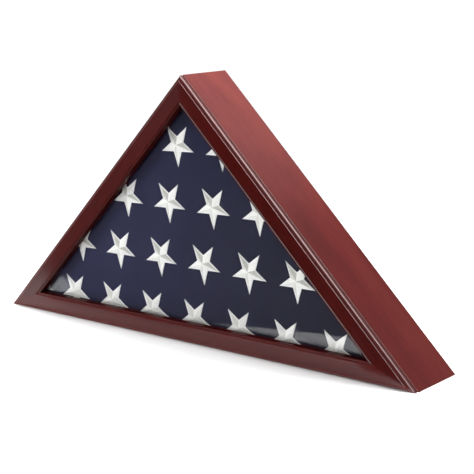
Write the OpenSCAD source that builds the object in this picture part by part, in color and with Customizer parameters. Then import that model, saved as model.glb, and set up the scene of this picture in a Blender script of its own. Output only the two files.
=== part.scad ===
// Triangular display case for a folded flag: a mitred box of three boards, a
// moulded front frame, glass, the flag, and a back door on two small hinges.
// Right isosceles triangle, 45 degrees at the base tips and 90 at the apex.
// +Z is up, the front looks along -Y, and the origin is the middle of the
// underside of the base board. Millimetres.

/* [Case] */
// Width of the base from tip to tip
case_w = 640; // [560:5:760]
// Depth from the front of the frame to the back edges of the boards
case_d = 84; // [80:1:110]
// Thickness of the three box boards
board_t = 15; // [15:0.5:18]
// Round-over on the boards' outer back edge
back_ease = 1.2; // [0.5:0.1:2]

/* [Front frame] */
// Depth of the frame rail in front of the boards
rail_t = 7.8; // [7.6:0.1:9]
// How far the flat face of the frame steps in from the outside of the case
face_in = 4.6; // [4.4:0.1:5.4]
// Where the flat face ends towards the opening
face_out = 21.3; // [20:0.1:21.5]
// Sight edge: how far the opening is in from the outside of the case
sight_in = 24.9; // [24.6:0.1:25.5]
// Radius of the outside bead
bead_r = 2.4; // [2.2:0.1:2.6]
// Depth of the glass seat behind the face of the frame
seat_u = 9; // [8.9:0.1:9.6]

/* [Glass and strips] */
// Thickness of the glass
glass_t = 2.5; // [2:0.5:3]
// Thickness of the glazing strips behind the glass
strip_t = 4; // [3:0.5:4.5]
// Width of the glazing strips
strip_w = 5; // [4:0.5:6]

/* [Flag] */
// Depth of the front of the flag behind the face of the frame
flag_u = 14; // [13:0.5:15]
// Thickness of the folded flag
flag_t = 52; // [40:1:52]
// Radius of a star, centre to point
star_r = 26.5; // [15:0.5:30]
// Thickness of the raised stars
star_t = 0.7; // [0.4:0.1:1]

/* [Back door] */
// Thickness of the door panel
door_t = 6; // [5:0.5:6]
// Clearance between the door and its rebate
door_gap = 0.5; // [0.4:0.1:1]
// Width of the rebate's ledge
rebate_w = 6; // [5:0.5:7]
// Height of the pull knob
knob_h = 11; // [8:0.5:11]

/* [Hinges] */
// Distance of each hinge from the middle
hinge_x = 150; // [100:5:200]
// Length of a hinge
hinge_l = 30; // [26:1:40]
// Thickness of a hinge leaf
leaf_t = 0.9; // [0.8:0.1:1]

/* [Hidden] */

wood = [0.42, 0.16, 0.15];
brass = [0.78, 0.62, 0.3];

k = 1 + sqrt(2);
half = case_w / 2;
slope = case_w / sqrt(2);            // length of a sloping side
r_in = half * (sqrt(2) - 1);         // radius of the inscribed circle
rebate_u = case_d - door_t - 0.2;    // depth of the rebate's ledge
door_in = board_t - rebate_w + door_gap;
door_u0 = case_d - door_t;
glass_u1 = seat_u + glass_t;
hinge_u = case_d + 2.3;              // hinge axis, behind the back edges
hinge_z = door_in - door_gap / 2;
knuckle_r = 2;
pin_r = 1;
magnet_z = half - 40;
knob_z = half - 68;

// ---------- placing ----------
// Everything below is drawn with u, the depth behind the face of the frame.

// Triangle whose three sides are d in from the outside of the case
function tri(d) = [[-(half - k * d), d], [half - k * d, d], [0, half - sqrt(2) * d]];

// Prism of a front view outline between the depths u0 and u1
module prism(u0, u1) translate([0, u1 - case_d / 2, 0]) rotate([90, 0, 0])
  linear_extrude(u1 - u0) children();

// Triangular slab
module slab(d, u0, u1) prism(u0, u1) polygon(tri(d));

// A section in (u, d), run along the base from a to b
module run(a, b) translate([a, -case_d / 2, 0]) rotate([90, 0, 90])
  linear_extrude(b - a) children();

// From the base's own line to the right slope: x runs from tip to apex, z inward
module on_right() translate([half, 0, 0]) rotate([0, -135, 0]) children();
module on_left() mirror([1, 0, 0]) on_right() children();

// Base member: the section mitred at both tips (22.5 degrees)
module base_member() intersection() {
  run(-half - 5, half + 5) children();
  prism(-5, case_d + 5)
    polygon([[-half - 5 * k, -5], [half + 5 * k, -5], [0, r_in]]);
}

// Right slope member: 22.5 degree mitre at the tip, 45 at the apex
module slope_member() intersection() {
  on_right() run(-5, slope + 5) children();
  prism(-5, case_d + 5)
    polygon([[half + 5 * k, -5], [0, half + 5 * sqrt(2)], [0, r_in]]);
}

// What rounds over a corner at the section's origin
module ease(r) difference() {
  translate([-1, -1]) square(r + 1);
  translate([r, r]) circle(r, $fn = 32);
}

// A screw driven along -Y: countersunk head flush at depth u, l long
module screw(x, u, z, l, r = 1.1, head = 2) translate([x, u - case_d / 2, z])
  rotate([90, 0, 0]) union() {
    cylinder(h = l, r = r, $fn = 32);
    difference() {
      cylinder(h = 1.3, r1 = head, r2 = r, $fn = 32);
      translate([-head, -0.25, -0.01]) cube([2 * head, 0.5, 0.4]);
    }
  }
module screw_void(x, u, z, l, r = 1.1, head = 2) translate([x, u - case_d / 2, z])
  rotate([90, 0, 0]) union() {
    translate([0, 0, -1]) cylinder(h = l + 1, r = r, $fn = 32);
    cylinder(h = 1.3, r1 = head, r2 = r, $fn = 32);
    translate([0, 0, -1]) cylinder(h = 1, r = head, $fn = 32);
  }

// ---------- box ----------

// Board: eased outer edges, and a rebate along the inner back edge
module board_section() difference() {
  translate([rail_t, 0]) square([case_d - rail_t, board_t]);
  translate([rebate_u, board_t - rebate_w]) square([case_d, board_t]);
  translate([rail_t, 0]) ease(0.4);
  translate([case_d, 0]) mirror([1, 0]) ease(back_ease);
}

module base_board() color(wood) difference() {
  base_member() board_section();
  tip_spline(1);
  tip_spline(-1);
  for (s = [-1, 1], t = [-1, 1])
    screw_void(s * hinge_x + t * 9, case_d + leaf_t, 3.9, 13);
}
module right_side_board() color(wood) difference() {
  slope_member() board_section();
  tip_spline(1);
  top_spline();
}
module left_side_board() color(wood) difference() {
  mirror([1, 0, 0]) slope_member() board_section();
  tip_spline(-1);
  top_spline();
}

// Splines: flat slips of wood glued across the mitres
module top_spline() prism(16, 74) translate([-5, half - 14]) square([10, 3]);
module tip_spline(s) prism(16, 74) mirror([s < 0 ? 1 : 0, 0])
  translate([half, 0]) rotate(157.5) translate([25, -4]) square([3, 8]);

module apex_spline() color([0.72, 0.58, 0.4]) top_spline();
module left_corner_spline() color([0.72, 0.58, 0.4]) tip_spline(-1);
module right_corner_spline() color([0.72, 0.58, 0.4]) tip_spline(1);

// ---------- front frame ----------

// Rail: eased flat face, cove, bead and quirk outside; groove and bead inside
module rail_section() difference() {
  union() {
    translate([0, face_in]) square([rail_t, face_out - face_in]);
    translate([0.6, 1.3]) square([rail_t - 0.6, 5]);
    translate([4.4, bead_r]) circle(bead_r, $fn = 48);
    translate([1.5, face_out - 1]) square([seat_u - 1.5, sight_in - face_out + 1]);
    translate([1.5, sight_in - 1.4]) circle(1.4, $fn = 48);
    translate([rail_t - 1, board_t + 0.2])
      square([seat_u - rail_t + 1, sight_in - board_t - 0.2]);
  }
  translate([0.6, face_in - 2.1]) circle(2.1, $fn = 48);
  translate([-1, -1]) square([1.6, face_in + 1]);
  translate([0, face_in]) ease(0.6);
  translate([0, face_out]) mirror([0, 1]) ease(0.5);
}

module frame_rail_bottom() color(wood) base_member() rail_section();
module frame_rail_right() color(wood) slope_member() rail_section();
module frame_rail_left() color(wood) mirror([1, 0, 0]) slope_member() rail_section();

// V-nail across a mitre, driven from the glass seat, legs along the angle a
module v_nail(x, z, a) prism(seat_u - 5, seat_u) translate([x, z]) rotate(a) {
  rotate(45) translate([-0.2, -0.2]) square([4.4, 0.4]);
  rotate(-45) translate([-0.2, -0.2]) square([4.4, 0.4]);
}
module frame_v_nails() color([0.62, 0.63, 0.65]) union() {
  v_nail(0, half - 31, 180 + 90);
  v_nail(half - 19 * k, 19, 67.5 + 90);
  v_nail(-half + 19 * k, 19, 22.5);
}

// ---------- glass ----------

module glass_pane() color([0.8, 0.88, 0.9, 0.3]) slab(board_t + 0.4, seat_u, glass_u1);

module strip_section() translate([glass_u1, board_t]) difference() {
  square([strip_t, strip_w]);
  translate([strip_t, strip_w]) mirror([1, 0]) mirror([0, 1]) ease(1.5);
}
module glazing_strip_bottom() color(wood) base_member() strip_section();
module glazing_strip_right() color(wood) slope_member() strip_section();
module glazing_strip_left() color(wood) mirror([1, 0, 0]) slope_member() strip_section();

// Brads through the strips into the boards
module brad_row(n, a, b) for (i = [0:n - 1])
  translate([a + (b - a) * i / (n - 1), glass_u1 + strip_t / 2 - case_d / 2, board_t - 8])
    cylinder(h = strip_w + 8, r = 0.45, $fn = 24);
module glazing_brads() color([0.55, 0.55, 0.57]) union() {
  brad_row(4, -220, 220);
  on_right() brad_row(4, 70, slope - 50);
  on_left() brad_row(4, 70, slope - 50);
}

// ---------- flag ----------

// One thick fold: a triangular pad with rounded edges
module fold(u0, t) hull() {
  slab(board_t + 0.3, u0 + t / 2 - 0.5, u0 + t / 2 + 0.5);
  slab(board_t + 0.3 + 0.067 * t, u0 + t * 0.25, u0 + t * 0.75);
  slab(board_t + 0.3 + 0.25 * t, u0 + t * 0.067, u0 + t * 0.933);
  slab(board_t + 0.3 + 0.5 * t, u0, u0 + t);
}
module folded_flag() color([0.16, 0.17, 0.3]) union() {
  fold(flag_u, flag_t / 2);
  fold(flag_u + flag_t / 2, flag_t / 2);
  slab(board_t + 0.3 + flag_t / 4, flag_u + 2, flag_u + flag_t - 2);
}

// Stars stand on a slanting grid, one point down
star_o = [-51.3, 98.6];  // the grid's reference star
star_a = [69.3, -1.0]; // step along a row
star_b = [16.6, 69.1]; // step to the row above
module star() rotate(1.2) polygon([for (i = [0:9])
  (i % 2 == 0 ? star_r : star_r * 0.382) * [cos(36 * i - 90), sin(36 * i - 90)]]);
module embroidered_stars() color([0.93, 0.92, 0.88])
  prism(flag_u - star_t, flag_u) intersection() {
    polygon(tri(board_t + 0.8 + flag_t / 4));
    union() for (j = [-1:2], i = [-4:4]) translate(star_o + i * star_a + j * star_b) star();
  }

// ---------- catch ----------

module apex_corner_block() color([0.72, 0.58, 0.4]) difference() {
  intersection() {
    slab(board_t, rebate_u - 10, rebate_u);
    prism(0, case_d) translate([-60, half - 54]) square([120, 60]);
  }
  prism(rebate_u - 4, case_d) translate([0, magnet_z]) circle(5, $fn = 48);
}
module catch_magnet() color([0.7, 0.71, 0.73])
  prism(rebate_u - 4, rebate_u) translate([0, magnet_z]) circle(5, $fn = 48);

// ---------- back door ----------

// The door's lower tips are bevelled from the inside, because they rise as the
// door drops open and would catch the slopes of the rebate. The bevel's plane
// goes through tip_a at the back face and tip_b and tip_c at the inner face.
tip_x = half - k * door_in;
tip_a = [tip_x - 1.2, case_d / 2, door_in];
tip_b = [tip_x - 9.2, case_d / 2 - door_t, door_in];
tip_c = [tip_x - 56, case_d / 2 - door_t, door_in + 56];
tip_n = cross(tip_a - tip_b, tip_c - tip_b);
module tip_bevel() translate(tip_b)
  rotate([0, acos(tip_n[2] / norm(tip_n)), atan2(tip_n[1], tip_n[0])])
    translate([-150, -150, 0]) cube([300, 300, 40]);

module back_door_panel() color([0.33, 0.14, 0.12]) difference() {
  slab(door_in, door_u0, case_d);
  tip_bevel();
  mirror([1, 0, 0]) tip_bevel();
  prism(door_u0 - 1, door_u0 + 1.2) translate([0, magnet_z]) circle(7, $fn = 48);
  prism(door_u0, door_u0 + 5) translate([0, magnet_z]) circle(1.1, $fn = 32);
  prism(door_u0 - 1, case_d + 1) translate([0, knob_z]) circle(1.6, $fn = 32);
  for (s = [-1, 1], t = [-1, 1])
    screw_void(s * hinge_x + t * 9, case_d + leaf_t, 17, 5.5);
}
// Steel disc let into the door's inner face, and its countersunk screw
module strike_disc() color([0.75, 0.76, 0.78]) difference() {
  prism(door_u0, door_u0 + 1.2) translate([0, magnet_z]) circle(7, $fn = 48);
  translate([0, door_u0 - case_d / 2, magnet_z]) rotate([-90, 0, 0])
    translate([0, 0, -0.01]) cylinder(h = 1.3, r1 = 2.2, r2 = 1.1, $fn = 32);
}
module strike_screw() color([0.7, 0.7, 0.72])
  translate([0, door_u0 - case_d / 2, magnet_z]) rotate([-90, 0, 0]) union() {
    cylinder(h = 5, r = 1.1, $fn = 32);
    difference() {
      cylinder(h = 1.2, r1 = 2.1, r2 = 1.1, $fn = 32);
      translate([-3, -0.25, -0.01]) cube([6, 0.5, 0.4]);
    }
  }

// Turned pull, its axis along Y
module door_knob() color(brass) difference() {
  translate([0, case_d / 2, knob_z]) rotate([-90, 0, 0])
    rotate_extrude($fn = 64) difference() {
      union() {
        square([5.5, 1.2]);
        square([2.6, knob_h - 2]);
        translate([0, knob_h - 5.5]) square([4.5, 5.5]);
        translate([4.5, knob_h - 2.75]) scale([1, 1]) circle(2.75, $fn = 48);
      }
      translate([-10, -1]) square([10, knob_h + 2]);
    }
  prism(case_d - 1, case_d + knob_h - 4) translate([0, knob_z]) circle(1.6, $fn = 32);
}
module knob_screw() color([0.7, 0.7, 0.72])
  translate([0, door_u0 - case_d / 2, knob_z]) rotate([-90, 0, 0]) difference() {
    union() {
      cylinder(h = door_t + knob_h - 4, r = 1.6, $fn = 32);
      translate([0, 0, -1.6]) cylinder(h = 1.6, r = 3, $fn = 48);
    }
    translate([-4, -0.4, -1.7]) cube([8, 0.8, 0.8]);
  }

// ---------- hinges ----------
// The knuckles turn on the pin 2.3 behind the back edges; the pin is tight in
// the case leaf and runs in the door leaf.

module barrel(x0, x1, r) translate([x0, hinge_u - case_d / 2, hinge_z])
  rotate([0, 90, 0]) cylinder(h = x1 - x0, r = r, $fn = 48);
module leaf_plate(x0, x1, z0, z1) translate([x0, case_d / 2, z0])
  cube([x1 - x0, leaf_t, z1 - z0]);

mid = hinge_l / 4;   // half length of the door leaf's knuckle

module hinge_case_leaf(c) color(brass) translate([c, 0, 0]) difference() {
  union() {
    leaf_plate(-hinge_l / 2, hinge_l / 2, 1.1, hinge_z - knuckle_r - 0.4);
    for (s = [0, 1]) mirror([s, 0, 0]) {
      leaf_plate(mid + 0.15, hinge_l / 2, 3, hinge_z + 0.4);
      barrel(mid + 0.15, hinge_l / 2, knuckle_r);
    }
  }
  barrel(-hinge_l, hinge_l, pin_r);
  for (t = [-1, 1]) screw_void(t * 9, case_d + leaf_t, 3.9, 13);
}
module hinge_door_leaf(c) color(brass) translate([c, 0, 0]) difference() {
  union() {
    leaf_plate(-hinge_l / 2, hinge_l / 2, hinge_z + knuckle_r + 0.4, 21.5);
    leaf_plate(-mid + 0.15, mid - 0.15, hinge_z - 0.4, 14);
    barrel(-mid + 0.15, mid - 0.15, knuckle_r);
  }
  barrel(-hinge_l, hinge_l, pin_r + 0.05);
  for (t = [-1, 1]) screw_void(t * 9, case_d + leaf_t, 17, 5.5);
}
module hinge_pin(c) color([0.7, 0.56, 0.3]) translate([c, 0, 0]) union() {
  barrel(-hinge_l / 2 - 0.3, hinge_l / 2 + 0.3, pin_r);
}

module hinge_case_leaf_left() hinge_case_leaf(-hinge_x);
module hinge_case_leaf_right() hinge_case_leaf(hinge_x);
module hinge_door_leaf_left() hinge_door_leaf(-hinge_x);
module hinge_door_leaf_right() hinge_door_leaf(hinge_x);
module hinge_pin_left() hinge_pin(-hinge_x);
module hinge_pin_right() hinge_pin(hinge_x);
module hinge_case_screws() color(brass) for (s = [-1, 1], t = [-1, 1])
  screw(s * hinge_x + t * 9, case_d + leaf_t, 3.9, 12.9);
module hinge_door_screws() color(brass) for (s = [-1, 1], t = [-1, 1])
  screw(s * hinge_x + t * 9, case_d + leaf_t, 17, 5.4);

base_board();
left_side_board();
right_side_board();
apex_spline();
left_corner_spline();
right_corner_spline();
frame_rail_bottom();
frame_rail_left();
frame_rail_right();
frame_v_nails();
glass_pane();
glazing_strip_bottom();
glazing_strip_left();
glazing_strip_right();
glazing_brads();
folded_flag();
embroidered_stars();
apex_corner_block();
catch_magnet();
back_door_panel();
strike_disc();
strike_screw();
door_knob();
knob_screw();
hinge_case_leaf_left();
hinge_case_leaf_right();
hinge_door_leaf_left();
hinge_door_leaf_right();
hinge_pin_left();
hinge_pin_right();
hinge_case_screws();
hinge_door_screws();
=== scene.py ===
import bpy, bmesh, math
import numpy as np
from mathutils import Vector, Matrix


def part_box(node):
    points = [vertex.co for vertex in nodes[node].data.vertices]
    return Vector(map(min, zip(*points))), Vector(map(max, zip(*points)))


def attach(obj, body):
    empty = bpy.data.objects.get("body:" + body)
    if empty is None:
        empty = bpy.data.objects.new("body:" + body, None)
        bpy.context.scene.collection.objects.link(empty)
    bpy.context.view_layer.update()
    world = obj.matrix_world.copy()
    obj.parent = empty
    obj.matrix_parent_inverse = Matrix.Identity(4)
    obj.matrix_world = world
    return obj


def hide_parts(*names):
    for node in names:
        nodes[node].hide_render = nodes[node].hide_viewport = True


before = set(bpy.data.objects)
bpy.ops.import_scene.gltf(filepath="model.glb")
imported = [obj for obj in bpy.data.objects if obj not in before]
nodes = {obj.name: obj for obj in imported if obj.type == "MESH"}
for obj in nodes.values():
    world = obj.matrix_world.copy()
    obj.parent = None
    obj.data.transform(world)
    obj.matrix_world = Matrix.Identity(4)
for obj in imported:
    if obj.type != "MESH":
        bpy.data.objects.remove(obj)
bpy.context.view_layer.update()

scene = bpy.context.scene
scene.view_settings.view_transform = "Standard"
scene.view_settings.look = "None"

# ------------------------------------------------------------------ sizes, m
base_lo, base_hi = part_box("base_board")
rail_lo, rail_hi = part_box("frame_rail_bottom")
flag_lo, flag_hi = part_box("folded_flag")
glass_lo, glass_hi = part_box("glass_pane")
HALF = base_hi.x                      # half of the base's width
FRONT = rail_lo.y                     # the face of the frame
BACK = base_hi.y
K = 1 + math.sqrt(2)


# ------------------------------------------------------------------ node help
def new_mat(name):
    m = bpy.data.materials.new(name)
    m.use_nodes = True
    nt = m.node_tree
    nt.nodes.clear()
    out = nt.nodes.new("ShaderNodeOutputMaterial")
    return m, nt, out


class G:
    """Small helper that wires shader nodes."""

    def __init__(self, nt):
        self.nt = nt

    def n(self, kind, **kw):
        x = self.nt.nodes.new(kind)
        for k, v in kw.items():
            setattr(x, k, v)
        return x

    def link(self, a, b):
        self.nt.links.new(a, b)

    def _in(self, sock, v):
        if isinstance(v, bpy.types.NodeSocket):
            self.link(v, sock)
        else:
            sock.default_value = v

    def math(self, op, a, b=0.0, c=None, clamp=False):
        x = self.n("ShaderNodeMath", operation=op, use_clamp=clamp)
        self._in(x.inputs[0], a)
        self._in(x.inputs[1], b)
        if c is not None:
            self._in(x.inputs[2], c)
        return x.outputs[0]

    def smooth(self, v, lo, hi, a=0.0, b=1.0):
        x = self.n("ShaderNodeMapRange", interpolation_type="SMOOTHSTEP")
        self._in(x.inputs["Value"], v)
        for k, s in (("From Min", lo), ("From Max", hi), ("To Min", a), ("To Max", b)):
            self._in(x.inputs[k], s)
        return x.outputs["Result"]

    def mix(self, fac, a, b, blend="MIX"):
        x = self.n("ShaderNodeMix", data_type="RGBA", blend_type=blend)
        self._in(x.inputs[0], fac)
        self._in(x.inputs[6], a if isinstance(a, bpy.types.NodeSocket) else (*a, 1.0)[:4])
        self._in(x.inputs[7], b if isinstance(b, bpy.types.NodeSocket) else (*b, 1.0)[:4])
        return x.outputs[2]

    def coords(self, loc=(0, 0, 0), rot=(0, 0, 0), scale=(1, 1, 1), src=None):
        if src is None:
            src = self.n("ShaderNodeTexCoord").outputs["Object"]
        m = self.n("ShaderNodeMapping")
        self.link(src, m.inputs["Vector"])
        m.inputs["Location"].default_value = loc
        m.inputs["Rotation"].default_value = rot
        m.inputs["Scale"].default_value = scale
        return m.outputs["Vector"]

    def noise(self, vec, scale=1.0, detail=3.0, rough=0.5, dist=0.0):
        x = self.n("ShaderNodeTexNoise")
        self.link(vec, x.inputs["Vector"])
        x.inputs["Scale"].default_value = scale
        x.inputs["Detail"].default_value = detail
        x.inputs["Roughness"].default_value = rough
        x.inputs["Distortion"].default_value = dist
        return x.outputs["Fac"]

    def ramp(self, fac, stops):
        x = self.n("ShaderNodeValToRGB")
        self.link(fac, x.inputs["Fac"])
        e = x.color_ramp.elements
        while len(e) < len(stops):
            e.new(0.5)
        for k, (p, c) in enumerate(stops):
            e[k].position = p
            e[k].color = (*c, 1.0)
        return x.outputs["Color"]

    def bump(self, height, strength=0.2, dist=0.001, normal=None):
        x = self.n("ShaderNodeBump")
        self.link(height, x.inputs["Height"])
        x.inputs["Strength"].default_value = strength
        x.inputs["Distance"].default_value = dist
        if normal is not None:
            self.link(normal, x.inputs["Normal"])
        return x.outputs["Normal"]

    def bsdf(self, out, color, rough, normal=None, **consts):
        b = self.n("ShaderNodeBsdfPrincipled")
        self._in(b.inputs["Base Color"], color if isinstance(color, bpy.types.NodeSocket) else (*color, 1.0))
        self._in(b.inputs["Roughness"], rough)
        if normal is not None:
            self.link(normal, b.inputs["Normal"])
        for k, v in consts.items():
            b.inputs[k.replace("_", " ")].default_value = v
        self.link(b.outputs[0], out.inputs["Surface"])
        return b


# ------------------------------------------------------------------ materials
def wood(name, beta, dark, mid, light, loc=(0, 0, 0), rough=0.5, coat=1.0,
         coat_rough=0.2, mottle=1.0, wear_and_highlight=None, spec=0.0, face_coat=1.0):
    """Lacquered close-grained wood. beta turns the object's XZ so that the grain runs along the local X.
    wear_and_highlight lightens narrow bands, partly where the lacquer rubs thin and partly as a painted edge
    highlight: a list of (distance in from the outside, half width)."""
    m, nt, out = new_mat(name)
    g = G(nt)
    rot = (0, math.radians(beta), 0)
    turned = g.coords(loc, rot)
    slow = g.noise(g.coords(scale=(2.2, 9, 13), src=turned), 1, 3, 0.55, 0.6)
    cloud = g.noise(g.coords(loc=(3, 1, 2), scale=(14, 40, 40), src=turned), 1, 3, 0.6)
    streak = g.noise(g.coords(scale=(9, 260, 260), src=turned), 1, 4, 0.6, 0.25)
    fine = g.noise(g.coords(loc=(7, 3, 1), scale=(30, 1100, 1100), src=turned), 1, 2, 0.5)
    pore = g.noise(g.coords(loc=(1, 9, 4), scale=(75, 1900, 1900), src=turned), 1, 1, 0.4)
    f = g.math("MULTIPLY", slow, 0.42 * mottle)
    f = g.math("MULTIPLY_ADD", cloud, 0.20 * mottle, f)
    f = g.math("MULTIPLY_ADD", streak, 0.30, f)
    f = g.math("MULTIPLY_ADD", fine, 0.12, f)
    f = g.math("ADD", f, 0.5 - 0.5 * (0.42 * mottle + 0.20 * mottle + 0.30 + 0.12))
    col = g.ramp(f, [(0.33, dark), (0.5, mid), (0.68, light)])
    pores = g.smooth(pore, 0.66, 0.76)
    col = g.mix(g.math("MULTIPLY", pores, 0.35), col, tuple(c * 0.45 for c in dark))
    r = g.math("MULTIPLY_ADD", cloud, 0.16, rough - 0.08)
    r = g.math("MULTIPLY_ADD", streak, 0.08, g.math("SUBTRACT", r, 0.04))
    if wear_and_highlight:
        # distance in from the nearest side of the triangle, in the front view
        sep = g.n("ShaderNodeSeparateXYZ")
        g.link(g.n("ShaderNodeTexCoord").outputs["Object"], sep.inputs[0])
        ax = g.math("ABSOLUTE", sep.outputs["X"])
        sl = g.math("MULTIPLY", g.math("SUBTRACT", g.math("SUBTRACT", HALF, ax), sep.outputs["Z"]), 1 / math.sqrt(2))
        d = g.math("MINIMUM", sl, sep.outputs["Z"])
        rub_and_glint_noise = g.noise(g.coords(loc=(5, 5, 5), scale=(60, 300, 300), src=turned), 1, 3, 0.6)
        total = None
        for at, hw in wear_and_highlight:
            w = g.smooth(g.math("ABSOLUTE", g.math("SUBTRACT", d, at)), hw * 0.2, hw, 1.0, 0.0)
            total = w if total is None else g.math("MAXIMUM", total, w)
        total = g.math("MULTIPLY", total, g.smooth(rub_and_glint_noise, 0.35, 0.75, 0.15, 0.6))
        # painted highlight and wear: the bands are painted lighter, as rubbed-thin lacquer and as the glint along the
        # edges
        col = g.mix(total, col, tuple(min(1, c * 2.2 + 0.02) for c in light))
        # the cove is dull, and so is the wall down to the glass, which is also painted darker as painted shade in the
        # recess
        cove = g.math("MULTIPLY", g.smooth(d, 0.0029, 0.0034), g.smooth(d, 0.0045, 0.0049, 1.0, 0.0))
        reveal = g.smooth(d, 0.0240, 0.0247)
        # painted shade: the wall down to the glass is darkened as if in shadow
        col = g.mix(g.math("MULTIPLY", reveal, 0.85), col, tuple(c * 0.5 for c in dark))
        # painted light: the cove's colour is lightened where it catches the light
        col = g.mix(g.math("MULTIPLY", cove, 0.8), col, tuple(c * 1.25 + 0.012 for c in light))
        # painted highlight: the bead's colour is lightened along its highlight
        bead = g.smooth(d, 0.0031, 0.0037, 1.0, 0.0)
        col = g.mix(g.math("MULTIPLY", bead, 0.55), col, tuple(c * 1.5 + 0.014 for c in light))
        blur = g.math("MULTIPLY_ADD", bead, 0.2, coat_rough)
        flat = g.smooth(d, 0.0050, 0.0056, 0.0, 1.0 - face_coat)
        dull = g.math("MAXIMUM", flat, g.math("MAXIMUM", cove, g.math("MULTIPLY", reveal, 0.7)))
        clear = g.math("MULTIPLY_ADD", dull, -coat, coat)
    h = g.math("MULTIPLY_ADD", pores, -0.6, g.math("MULTIPLY", fine, 0.35))
    h = g.math("MULTIPLY_ADD", streak, 0.4, h)
    nrm = g.bump(h, 0.10, 0.0004)
    nrm = g.bump(cloud, 0.05, 0.002, nrm)
    b = g.bsdf(out, col, r, nrm, Coat_Weight=coat, Coat_Roughness=coat_rough, Coat_IOR=1.5,
               Specular_IOR_Level=spec)
    if wear_and_highlight:
        g.link(clear, b.inputs["Coat Weight"])
        g.link(blur, b.inputs["Coat Roughness"])
    return m


RAIL = dict(dark=(0.032, 0.0014, 0.0014), mid=(0.047, 0.0028, 0.0024), light=(0.064, 0.0052, 0.0044))
BOARD = dict(coat=0.85, coat_rough=0.3, mottle=1.5, dark=(0.060, 0.0030, 0.0026), mid=(0.089, 0.0054, 0.0044), light=(0.126, 0.0135, 0.0088))
EDGES = [(0.0050, 0.0007), (0.0212, 0.0006)]
mats = {
    # painted light: the bottom rail is a lighter, redder copy of the rail wood than the side rails
    "frame_rail_bottom": wood("rail wood bottom", 0, dark=(0.044, 0.0016, 0.0016), mid=(0.066, 0.0032, 0.0028),
                              light=(0.088, 0.0060, 0.0052), loc=(0.3, 0, 0), wear_and_highlight=EDGES, face_coat=0.75),
    "frame_rail_left": wood("rail wood left", 45, **RAIL, loc=(1.7, 0.4, 0.2), wear_and_highlight=EDGES, face_coat=0.75),
    "frame_rail_right": wood("rail wood right", 135, **RAIL, loc=(3.1, 0.8, 0.5), wear_and_highlight=EDGES, face_coat=0.35),
    "base_board": wood("board wood base", 0, **BOARD, loc=(5.2, 1.1, 0.7)),
    "left_side_board": wood("board wood left", 45, **BOARD, loc=(6.3, 0.2, 1.3)),
    "right_side_board": wood("board wood right", 135, **BOARD, loc=(8.9, 0.6, 0.9)),
    "glazing_strip_bottom": wood("strip wood bottom", 0, **RAIL, loc=(2.3, 0, 1)),
    "glazing_strip_left": wood("strip wood left", 45, **RAIL, loc=(4.7, 1.4, 0.2)),
    "glazing_strip_right": wood("strip wood right", 135, **RAIL, loc=(9.1, 0.8, 2.5)),
    "back_door_panel": wood("door veneer", 90, dark=(0.045, 0.010, 0.008), mid=(0.075, 0.017, 0.013),
                            light=(0.11, 0.030, 0.022), loc=(1, 2, 3), rough=0.55, coat=0.25, coat_rough=0.3),
}
bare = wood("bare wood", 0, dark=(0.36, 0.22, 0.11), mid=(0.48, 0.31, 0.17), light=(0.58, 0.41, 0.25),
            rough=0.65, coat=0.0, spec=0.4)
for n in ("apex_spline", "left_corner_spline", "right_corner_spline", "apex_corner_block"):
    mats[n] = bare


def metal(name, color, rough, spec_scale, turned=False, tarnish=(0.4, 0.25, 0.08)):
    """Satin metal: fine brushing, cloudy tarnish and small scratches."""
    m, nt, out = new_mat(name)
    g = G(nt)
    src = g.coords()
    if turned:
        brush = g.noise(g.coords(scale=(300, 3500, 300)), 1, 3, 0.6)
    else:
        brush = g.noise(g.coords(scale=(180, 2600, 2600)), 1, 3, 0.6)
    cloud = g.noise(src, 260, 4, 0.6)
    spots = g.smooth(g.noise(src, 900, 2, 0.6), 0.62, 0.75)
    col = g.mix(g.math("MULTIPLY", g.smooth(cloud, 0.45, 0.75), 0.35), color, tarnish)
    col = g.mix(g.math("MULTIPLY", spots, 0.25), col, tuple(c * 0.4 for c in tarnish))
    r = g.math("MULTIPLY_ADD", cloud, 0.2, rough - 0.1)
    r = g.math("MULTIPLY_ADD", brush, 0.12, g.math("SUBTRACT", r, 0.06))
    nrm = g.bump(brush, 0.12 * spec_scale, 0.0002)
    g.bsdf(out, col, r, nrm, Metallic=1.0)
    return m


brass = metal("satin brass", (0.62, 0.40, 0.13), 0.30, 1.0)
brass_turned = metal("turned brass", (0.66, 0.43, 0.15), 0.22, 0.8, turned=True)
screw_brass = metal("screw brass", (0.56, 0.36, 0.12), 0.34, 1.0)
steel = metal("zinc steel", (0.52, 0.53, 0.55), 0.35, 1.0, tarnish=(0.30, 0.29, 0.27))
nickel = metal("nickel plate", (0.60, 0.60, 0.61), 0.16, 0.5, tarnish=(0.42, 0.41, 0.38))
for n in ("hinge_case_leaf_left", "hinge_case_leaf_right", "hinge_door_leaf_left", "hinge_door_leaf_right"):
    mats[n] = brass
for n in ("hinge_pin_left", "hinge_pin_right"):
    mats[n] = brass_turned
mats["door_knob"] = brass_turned
for n in ("hinge_case_screws", "hinge_door_screws"):
    mats[n] = screw_brass
for n in ("strike_disc", "strike_screw", "knob_screw", "frame_v_nails", "glazing_brads"):
    mats[n] = steel
mats["catch_magnet"] = nickel


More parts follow.
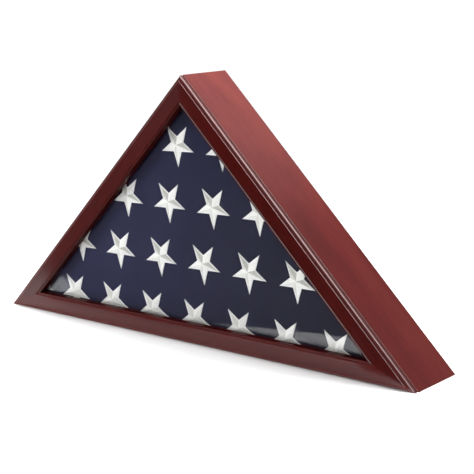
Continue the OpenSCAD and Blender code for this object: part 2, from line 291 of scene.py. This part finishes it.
def glass():
    """Float glass: clear, with the reflection of both faces and a faint film of dust and wiping marks."""
    m, nt, out = new_mat("float glass")
    g = G(nt)
    lw = g.n("ShaderNodeLayerWeight")
    lw.inputs["Blend"].default_value = 0.5
    f5 = g.math("POWER", lw.outputs["Facing"], 5.0)
    fres = g.math("MULTIPLY_ADD", f5, 0.95, 0.043)
    tr = g.n("ShaderNodeBsdfTransparent")
    tr.inputs["Color"].default_value = (0.984, 0.988, 0.985, 1)
    gl = g.n("ShaderNodeBsdfGlossy")
    gl.inputs["Color"].default_value = (1, 1, 1, 1)
    smear = g.noise(g.coords(rot=(0, 0.5, 0), scale=(5, 5, 22)), 1, 4, 0.6)
    g.link(g.math("MULTIPLY_ADD", smear, 0.03, 0.014), gl.inputs["Roughness"])
    mix = g.n("ShaderNodeMixShader")
    g.link(fres, mix.inputs[0])
    g.link(tr.outputs[0], mix.inputs[1])
    g.link(gl.outputs[0], mix.inputs[2])
    g.link(mix.outputs[0], out.inputs["Surface"])
    return m


mats["glass_pane"] = glass()

NAVY = dict(lo=(0.0136, 0.0140, 0.047), hi=(0.0236, 0.0238, 0.072))


def cloth():
    """Navy plain-weave flag cloth."""
    m, nt, out = new_mat("navy flag cloth")
    g = G(nt)
    src = g.n("ShaderNodeTexCoord").outputs["Object"]

    def wave(axis, scale):
        w = g.n("ShaderNodeTexWave", wave_type="BANDS", bands_direction=axis, wave_profile="SIN")
        g.link(src, w.inputs["Vector"])
        w.inputs["Scale"].default_value = scale
        w.inputs["Distortion"].default_value = 0.6
        w.inputs["Detail"].default_value = 1.0
        w.inputs["Detail Scale"].default_value = 0.3
        return w.outputs["Fac"]

    pitch = 0.31416 / 0.00055          # one thread every 0.55 mm
    wx, wz, wy = wave("X", pitch), wave("Z", pitch), wave("Y", pitch)
    geo = g.n("ShaderNodeNewGeometry")
    nsep = g.n("ShaderNodeSeparateXYZ")
    g.link(geo.outputs["True Normal"], nsep.inputs[0])
    ny = g.math("ABSOLUTE", nsep.outputs["Y"])
    face = g.smooth(ny, 0.4, 0.7)
    mixw = g.n("ShaderNodeMix", data_type="FLOAT")
    g.link(face, mixw.inputs[0])
    g.link(wy, mixw.inputs[2])
    g.link(wz, mixw.inputs[3])
    weave = g.math("MULTIPLY", wx, mixw.outputs[0])
    slub = g.noise(g.coords(scale=(25, 200, 900)), 1, 3, 0.6)
    cloud = g.noise(g.coords(scale=(6, 6, 6)), 1, 3, 0.55)
    f = g.math("MULTIPLY_ADD", weave, 0.30, g.math("MULTIPLY", cloud, 0.55))
    f = g.math("MULTIPLY_ADD", slub, 0.30, f)
    f = g.math("SUBTRACT", f, 0.05)
    col = g.ramp(f, [(0.2, NAVY["lo"]), (0.75, NAVY["hi"])])
    # the dye has faded a little toward one corner
    at = g.n("ShaderNodeSeparateXYZ")
    g.link(g.coords(), at.inputs[0])
    deep = g.mix(1.0, col, (0.30, 0.30, 0.36), "MULTIPLY")
    col = g.mix(g.smooth(at.outputs["X"], -0.22, 0.26), col, deep)
    nrm = g.bump(weave, 0.35, 0.00018)
    nrm = g.bump(slub, 0.12, 0.0005, nrm)
    g.bsdf(out, col, g.math("MULTIPLY_ADD", weave, -0.1, 0.88), nrm,
           Sheen_Weight=0.06, Sheen_Roughness=0.5, Specular_IOR_Level=0.12)
    return m


def thread():
    """Off-white satin stitch: glossy threads square to each edge, with a corded border."""
    m, nt, out = new_mat("star satin stitch")
    g = G(nt)
    uv = g.n("ShaderNodeUVMap", uv_map="stitch")
    sep = g.n("ShaderNodeSeparateXYZ")
    g.link(g.n("ShaderNodeUVMap", uv_map="lay").outputs["UV"], sep.inputs[0])
    lay = sep.outputs["X"]
    w = g.n("ShaderNodeTexWave", wave_type="BANDS", bands_direction="X", wave_profile="SIN")
    g.link(uv.outputs["UV"], w.inputs["Vector"])
    w.inputs["Scale"].default_value = 0.31416 / 0.42     # the map is in millimetres, a thread every 0.42
    w.inputs["Distortion"].default_value = 1.0
    w.inputs["Detail"].default_value = 2.0
    w.inputs["Detail Scale"].default_value = 0.6
    strands = g.noise(g.coords(scale=(1.3, 0.16, 1), src=uv.outputs["UV"]), 1, 3, 0.6)
    tone = g.math("MULTIPLY_ADD", strands, 0.75, 0.625)
    tone = g.math("MULTIPLY", tone, g.math("MULTIPLY_ADD", w.outputs["Fac"], 0.12, 0.94))
    # painted sheen and shade: the tone is scaled by each facet's value from the lay map
    tone = g.math("MULTIPLY", tone, lay, clamp=True)
    col = g.ramp(tone, [(0.0, (0.16, 0.15, 0.125)), (0.45, (0.45, 0.44, 0.40)), (0.78, (0.84, 0.835, 0.81)),
                        (1.0, (0.97, 0.965, 0.95))])
    h = g.math("MULTIPLY_ADD", strands, 0.6, w.outputs["Fac"])
    nrm = g.bump(h, 0.4, 0.00016)
    g.bsdf(out, col, g.math("MULTIPLY_ADD", strands, 0.25, 0.32), nrm,
           Sheen_Weight=0.1, Sheen_Roughness=0.4, Specular_IOR_Level=0.6)
    return m


for n, m in mats.items():
    me = nodes[n].data
    me.materials.clear()
    me.materials.append(m)

# ------------------------------------------------------------------ the flag
# Everything about the flag is in millimetres: x, depth u behind the face of the
# frame, and z. The pieces are turned to metres at the end.
D0 = flag_lo.z * 1000                 # how far its sides are in from the outside
U0 = (flag_lo.y - FRONT) * 1000       # its front
U1 = (flag_hi.y - FRONT) * 1000 - 0.9 # its back, below the stars on it
HW = HALF * 1000
RF, RB = 13.0, 10.0                   # rounding of the front and back edges
SIDES = [((0.0, 1.0), 0.0), ((-math.sqrt(0.5), -math.sqrt(0.5)), HW * math.sqrt(0.5)),
         ((math.sqrt(0.5), -math.sqrt(0.5)), HW * math.sqrt(0.5))]


def waves(x, z, seed):
    """A smooth, repeatable field between about -1 and 1."""
    rng = np.random.RandomState(seed)
    t = np.zeros_like(x, dtype=float)
    tot = 0
    for _ in range(14):
        lam = rng.uniform(45, 190)
        a = rng.uniform(0, 2 * np.pi)
        amp = lam / 100
        t = t + amp * np.sin(2 * np.pi * (x * np.cos(a) + z * np.sin(a)) / lam + rng.uniform(0, 2 * np.pi))
        tot += amp
    return t / tot * 2.2


def inset(x, z):
    """How far a point of the front view is inside the flag's outline, and which side is nearest."""
    ds = np.stack([nx * x + nz * z + c for (nx, nz), c in SIDES], -1) - D0
    return ds.min(-1), ds.argmin(-1)


def front_u(x, z):
    """Depth of the flag's front face before its edges turn back."""
    d, _ = inset(x, z)
    fade = np.clip((d - 4) / 40, 0, 1)
    fade = fade * fade * (3 - 2 * fade)
    return U0 + 1.15 + 0.35 * waves(x, z, 7) * fade


def back_u(x, z):
    d, _ = inset(x, z)
    fade = np.clip((d - 4) / 40, 0, 1)
    # the tail that is tucked in last ends in a fold that crosses the back
    edge = x - 78 - 0.18 * (z - 60)
    flap = 1 / (1 + np.exp(-edge / 1.1))
    crease = np.exp(-(edge / 2.2) ** 2)
    return U1 - 2.4 - 0.9 * waves(x, z, 21) * fade + 2.0 * flap * fade - 1.1 * crease * fade


def ring(d, r, ns, nc):
    """Points round a triangle inset by d with its corners rounded to r: ns on each side, nc on each corner."""
    v = [np.array((-(HW - K * d), d)), np.array((HW - K * d, d)), np.array((0.0, HW - math.sqrt(2) * d))]
    pts = []
    for i in range(3):
        a, b, c = v[i], v[(i + 1) % 3], v[(i + 2) % 3]
        ab, bc = (b - a), (c - b)
        la, lb = np.linalg.norm(ab), np.linalg.norm(bc)
        ab, bc = ab / la, bc / lb

        def cut(p, q, w):
            t1, t2 = (q - p) / np.linalg.norm(q - p), (w - p) / np.linalg.norm(w - p)
            half = math.acos(np.clip(t1 @ t2, -1, 1)) / 2
            return r / math.tan(half), half

        ca, _ = cut(a, b, c)
        cb, hb = cut(b, a, c)
        for k in range(ns[i]):
            pts.append(a + ab * (ca + (la - ca - cb) * (k / ns[i])))
        # fillet at b
        p0 = b - ab * cb
        nrm = np.array((-ab[1], ab[0]))
        cen = p0 + nrm * r
        turn = math.pi - 2 * hb
        a0 = math.atan2(*(p0 - cen)[::-1])
        for k in range(nc):
            t = a0 + turn * k / nc
            pts.append(cen + r * np.array((math.cos(t), math.sin(t))))
    return np.array(pts)


def make_flag():
    ns = ((224, 160, 160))
    nc = 14
    rin = (HW * (math.sqrt(2) - 1)) - D0
    # sections from the middle of the front, round the edge, to the middle of the back
    flat = np.concatenate([np.linspace(rin - 0.8, 40, 24)[:-1], np.linspace(40, RF, 13)])
    prof = [(d, None, "f") for d in flat]
    for a in np.linspace(0, 90, 13)[1:]:
        t = math.radians(a)
        prof.append((RF * (1 - math.sin(t)), RF * (1 - math.cos(t)), "r"))
    # folded edges: rounded lobes with grooves between them, of uneven thickness
    u_a, u_b = U0 + 1.15 + RF, U1 - 2.4 - RB
    cuts = np.array([0.0, 0.29, 0.52, 0.78, 1.0]) * (u_b - u_a) + u_a
    for a, b in zip(cuts[:-1], cuts[1:]):
        for t in np.linspace(0, 1, 9)[1:]:
            bulge = math.sqrt(max(0.0, 1 - (2 * t - 1) ** 2))
            prof.append((1.9 * (1 - bulge), a + (b - a) * t, "s"))
    for a in np.linspace(0, 90, 10)[1:]:
        t = math.radians(a)
        prof.append((RB * (1 - math.cos(t)) + 1.9 * (1 - t / (math.pi / 2)), RB * (1 - math.sin(t)), "b"))
    prof += [(d, None, "g") for d in np.concatenate([np.linspace(RB, 40, 11)[1:], np.linspace(40, rin - 0.8, 24)[1:]])]
    rings = []
    for d, u, kind in prof:
        r = max(8.0 - d, 0.5) if d < 60 else 0.3
        p = ring(D0 + d, r, ns, nc)
        x, z = p[:, 0], p[:, 1]
        if kind == "f":
            uu = front_u(x, z)
        elif kind == "r":
            uu = front_u(x, z) + u
        elif kind == "s":
            # the grooves wander a little along the sides
            s = np.arange(len(x)) / len(x)
            wob = 1.3 * np.sin(2 * np.pi * (5 * s + u / 60)) + 0.7 * np.sin(2 * np.pi * (13 * s + u / 23))
            w = min(1.0, (u - u_a) / 6, (u_b - u) / 6) if u_a < u < u_b else 0.0
            uu = np.full(len(x), u) + wob * w
            inn = 0.5 + 0.5 * np.sin(2 * np.pi * (9 * s + u / 31))
            cen = np.array((0.0, HW * (math.sqrt(2) - 1)))
            dirn = cen - p
            dirn /= np.linalg.norm(dirn, axis=1)[:, None]
            p = p + dirn * (inn * 0.9 * w)[:, None]
            x, z = p[:, 0], p[:, 1]
        elif kind == "b":
            uu = back_u(x, z) - u
        else:
            uu = back_u(x, z)
        rings.append(np.stack([x, uu, z], -1))
    m = len(rings[0])
    verts = [tuple(v) for r in rings for v in r]
    faces = []
    for i in range(len(rings) - 1):
        for j in range(m):
            k = (j + 1) % m
            faces.append((i * m + j, i * m + k, (i + 1) * m + k, (i + 1) * m + j))
    c0 = rings[0].mean(0)
    c1 = rings[-1].mean(0)
    verts += [tuple(c0), tuple(c1)]
    i0, i1 = len(verts) - 2, len(verts) - 1
    last = (len(rings) - 1) * m
    for j in range(m):
        k = (j + 1) % m
        faces.append((i0, k, j))
        faces.append((i1, last + j, last + k))
    return to_object("flag_cloth", verts, faces)


def to_object(name, verts, faces, uv=None):
    me = bpy.data.meshes.new(name)
    co = np.array(verts, float)
    co = np.stack([co[:, 0] / 1000, co[:, 1] / 1000 + FRONT, co[:, 2] / 1000], -1)
    me.from_pydata([tuple(c) for c in co], [], faces)
    me.validate()
    bm = bmesh.new()
    bm.from_mesh(me)
    if uv is not None:
        lay = bm.loops.layers.uv.new("stitch")
        for f in bm.faces:
            for lp in f.loops:
                lp[lay].uv = uv[lp.vert.index]
    bmesh.ops.recalc_face_normals(bm, faces=bm.faces)
    bm.to_mesh(me)
    bm.free()
    for p in me.polygons:
        p.use_smooth = True
    ob = bpy.data.objects.new(name, me)
    scene.collection.objects.link(ob)
    return ob


flag = make_flag()
flag.data.materials.append(cloth())
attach(flag, "case")
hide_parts("folded_flag")


# stars: one raised, ridged star each, wrapped round the flag's folded edges
def lay_on(x, z, h, back=False):
    """A point of the unfolded face, h above the cloth, to its place on the bundle."""
    R = RB if back else RF
    d, side = inset(x, z)
    nx = np.array([s[0][0] for s in SIDES])[side]
    nz = np.array([s[0][1] for s in SIDES])[side]
    arc = np.maximum(R - d, 0)
    phi = np.minimum(arc / R, math.pi / 2)
    over = np.maximum(arc - R * math.pi / 2, 0)
    want = np.where(arc > 0, R * (1 - np.sin(phi)), d)
    px, pz = x + nx * (want - d), z + nz * (want - d)
    base = back_u(px, pz) if back else front_u(px, pz)
    lift = R * (1 - np.cos(phi)) + over
    out_x, out_z = -nx * np.sin(phi), -nz * np.sin(phi)
    if back:
        return np.stack([px + out_x * h, base - lift + np.cos(phi) * h, pz + out_z * h], -1), arc
    return np.stack([px + out_x * h, base + lift - np.cos(phi) * h, pz + out_z * h], -1), arc


def star_points(cx, cz, R, rot, n=10, lift=0.0):
    """Ten flat facets from the middle to the tips, each with a corded satin border and a skirt into the cloth.
    Gives points (x, z, height), thread coordinates, faces, and each face's facet with its painted shade."""
    pts, uvs, faces, ids = [], [], [], []
    reach = R * 0.309                       # from the middle to the line of an edge
    for i in range(5):
        a = math.radians(-90 + 72 * i + rot)
        for s in (1, -1):
            b = a + s * math.radians(36)
            tip = np.array((math.cos(a), math.sin(a))) * R
            inn = np.array((math.cos(b), math.sin(b))) * R * 0.382
            start = len(pts)
            rows = 11
            # satin threads lie square to the outer edge; each facet is painted lighter or darker by how its threads
            # lie across the light, painted sheen and shade
            lie = a + s * math.radians(72)
            lay = 0.46 + 0.54 * abs(math.sin(lie - math.radians(45 + rot))) ** 1.2
            # painted light: lift paints the facet lighter
            lay += (1.0 - lay) * lift
            for p in range(n + 1):
                t = p / n
                ridge = tip * t
                edge = inn + (tip - inn) * t
                top = reach * (1 - t)
                rim = min(1.15, 0.5 * top)
                for q in range(rows):
                    if q < 5:
                        e = top + (rim - top) * q / 4
                    else:
                        e = rim * max(0.0, 1 - (q - 4) / 5)
                    w = 1 - e / top if top > 1e-9 else 1.0
                    pt = ridge + (edge - ridge) * w
                    h = 0.42 + 2.5 * e / reach
                    if q > 4 and rim > 1e-9:
                        f = e / rim
                        h += 0.36 * math.sqrt(max(0.0, 1 - (2 * f - 1) ** 2)) - 0.30 * max(0.0, 1 - 2.2 * f) ** 2
                    if q == rows - 1:
                        h = -0.3
                    pts.append((cx + pt[0], cz + pt[1], h))
                    along = (tip - inn) / np.linalg.norm(tip - inn)
                    uvs.append((pt @ along + 40 * i + 17 * s, e))
            for p in range(n):
                for q in range(rows - 1):
                    v = [start + p * rows + q, start + (p + 1) * rows + q,
                         start + (p + 1) * rows + q + 1, start + p * rows + q + 1]
                    faces.append(v if s > 0 else v[::-1])
                    ids.append((2 * i + (s > 0), 1.0 if q > 3 else lay))
    return pts, uvs, faces, ids


ROWS = [  # height of the row at x = 0, its slope, one star's x, how many each way
    (28.2, -0.0187, 1.4, range(-5, 6)),
    (97.9, -0.0144, 18.0, range(-3, 4)),
    (167.1, -0.0064, 34.6, range(-3, 3)),
    (236.6, -0.0040, -18.5, range(-1, 2)),
]
PITCH = 69.3


def make_stars(name, back=False):
    pts, uvs, faces, ids = [], [], [], []
    k = 0
    for z0, slope, x0, rng in ROWS:
        for i in rng:
            x = x0 + PITCH * i
            z = z0 + slope * x
            if inset(np.array([x]), np.array([z]))[0][0] < -20:
                continue
            k += 1
            turn = 0.5 * math.sin(k * 2.1)
            # the lowest row turns under the fold into shade; lift paints its facets lighter, painted light
            p, u, f, d = star_points(-x if back else x, z, 26.5, turn + (-1.2 if back else 1.2),
                                     lift=0.35 if z < 60 else 0.0)
            faces += [[v + len(pts) for v in g] for g in f]
            ids += d
            pts += p
            uvs += u
    P = np.array(pts)
    pos, arc = lay_on(P[:, 0], P[:, 1], P[:, 2], back)
    limit = (RB if back else RF) * math.pi / 2 * 0.93
    keep = [i for i, f in enumerate(faces) if max(arc[v] for v in f) < limit]
    used = sorted({v for i in keep for v in faces[i]})
    new = {v: i for i, v in enumerate(used)}
    ob = to_object(name, pos[used], [[new[v] for v in faces[i]] for i in keep], [uvs[v] for v in used])
    # flat facets meet in crisp ridges
    bm = bmesh.new()
    bm.from_mesh(ob.data)
    lay = bm.faces.layers.int.new("facet")
    # each facet's painted shade goes into the uv map named lay
    shade = bm.loops.layers.uv.new("lay")
    for f, i in zip(bm.faces, keep):
        f[lay] = ids[i][0]
        for lp in f.loops:
            lp[shade].uv = (ids[i][1], 0.5)
    bmesh.ops.remove_doubles(bm, verts=bm.verts, dist=0.00001)
    bmesh.ops.recalc_face_normals(bm, faces=bm.faces)
    for e in bm.edges:
        if len(e.link_faces) == 2 and e.link_faces[0][lay] != e.link_faces[1][lay]:
            e.smooth = False
    bm.faces.layers.int.remove(lay)
    bm.to_mesh(ob.data)
    bm.free()
    return ob


stitch = thread()
stars = make_stars("flag_stars")
stars.data.materials.append(stitch)
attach(stars, "case")
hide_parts("embroidered_stars")
back_stars = make_stars("flag_stars_back", back=True)
back_stars.data.materials.append(stitch)
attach(back_stars, "case")

# ------------------------------------------------------------------ stage
def stage_mat(name, color, rough=0.9):
    m, nt, out = new_mat(name)
    g = G(nt)
    n = g.noise(g.coords(), 3, 2, 0.5)
    col = g.mix(g.math("MULTIPLY", n, 0.02), color, tuple(c * 0.96 for c in color))
    g.bsdf(out, col, rough)
    return m


def plane(name, pts, z, mat):
    me = bpy.data.meshes.new(name)
    me.from_pydata([(x, y, z) for x, y in pts], [], [tuple(range(len(pts)))])
    ob = bpy.data.objects.new(name, me)
    scene.collection.objects.link(ob)
    me.materials.append(mat)
    return ob


floor = plane("floor", [(-9, -9), (9, -9), (9, 9), (-9, 9)], 0.0, stage_mat("floor", (0.74, 0.74, 0.74)))

# a black card lies in front of the case, seen only in reflections, as in a studio:
# the glass mirrors the pale table next to the case and the dark card beyond it
card_mat = stage_mat("black card", (0.004, 0.004, 0.004), 0.95)
edge = [(-318, -95), (-308, -48), (-61, -50), (-30, -66), (108, -104), (146, -110), (180, -90), (228, -38),
        (330, -16), (2500, -60), (2500, -4500), (-3600, -4500), (-1700, -1500), (-900, -560), (-497, -190)]
card = plane("black_card", [(x / 1000, y / 1000 + FRONT) for x, y in edge], 0.0006, card_mat)
wall = bpy.data.meshes.new("black_wall")
wall.from_pydata([(-4.5, -4.4, 0), (2.5, -4.4, 0), (2.5, -4.4, 2.6), (-4.5, -4.4, 2.6)], [], [(0, 1, 2, 3)])
wall_ob = bpy.data.objects.new("black_wall", wall)
scene.collection.objects.link(wall_ob)
wall.materials.append(card_mat)
for o in (card, wall_ob):
    o.visible_camera = False
    o.visible_diffuse = False
    o.visible_shadow = False
    o.visible_transmission = False
    o.visible_volume_scatter = False
    o.visible_glossy = True

world = bpy.data.worlds.new("studio")
scene.world = world
world.use_nodes = True
wg = G(world.node_tree)
bg = world.node_tree.nodes["Background"]
bg.inputs["Strength"].default_value = 1.0
seen = wg.n("ShaderNodeLightPath").outputs["Is Camera Ray"]
wg.link(wg.mix(seen, (0.36, 0.36, 0.365), (1.02, 1.02, 1.02)), bg.inputs["Color"])


def area(name, loc, target, size, radiance, size_y=None, glossy=True, diffuse=True):
    l = bpy.data.lights.new(name, "AREA")
    l.shape = "RECTANGLE"
    l.size, l.size_y = size, size_y or size
    l.energy = radiance * math.pi * l.size * l.size_y
    o = bpy.data.objects.new(name, l)
    scene.collection.objects.link(o)
    o.location = loc
    o.rotation_mode = "QUATERNION"
    o.rotation_quaternion = (Vector(target) - Vector(loc)).to_track_quat("-Z", "Y")
    o.visible_glossy = glossy
    o.visible_diffuse = diffuse
    return o


area("softbox over the apex", (0.08, 0.10, 0.72), (0.06, 0.0, 0.2), 0.30, 20, glossy=False)
area("softbox behind", (0.07, 0.62, 0.86), (0.03, 0.0, 0.28), 0.46, 0.85)
area("softbox overhead", (0.38, -0.66, 0.88), (0.14, -0.04, 0.15), 0.95, 14.0, 1.3, diffuse=False)
area("softbox front left", (-0.80, -0.85, 0.62), (-0.12, 0.0, 0.10), 0.45, 14.5, glossy=False)
sun = bpy.data.lights.new("diffused overhead", "SUN")
sun.energy = 1.2 * math.pi
sun.angle = math.radians(38)
sun_ob = bpy.data.objects.new("diffused overhead", sun)
scene.collection.objects.link(sun_ob)
sun_ob.rotation_mode = "QUATERNION"
sun_ob.rotation_quaternion = Vector((0.28, -0.24, -1.0)).to_track_quat("-Z", "Y")
sun_ob.visible_glossy = False

# ------------------------------------------------------------------ camera
cam = bpy.data.cameras.new("camera")
cam.sensor_width = 36
cam.lens = 96.0
cam_ob = bpy.data.objects.new("camera", cam)
scene.collection.objects.link(cam_ob)
right = Vector((0.76846969, 0.6395675, -0.02019285))
down = Vector((0.11421932, -0.16815321, -0.97912126))
fwd = Vector((-0.62960963, 0.7501186, -0.20227161))
rot = Matrix((right, -down, -fwd)).transposed()
cam_ob.matrix_world = Matrix.Translation((0.98713, -1.07730 + FRONT, 0.43033)) @ rot.to_4x4()
cam.clip_start, cam.clip_end = 0.05, 50
scene.camera = cam_ob
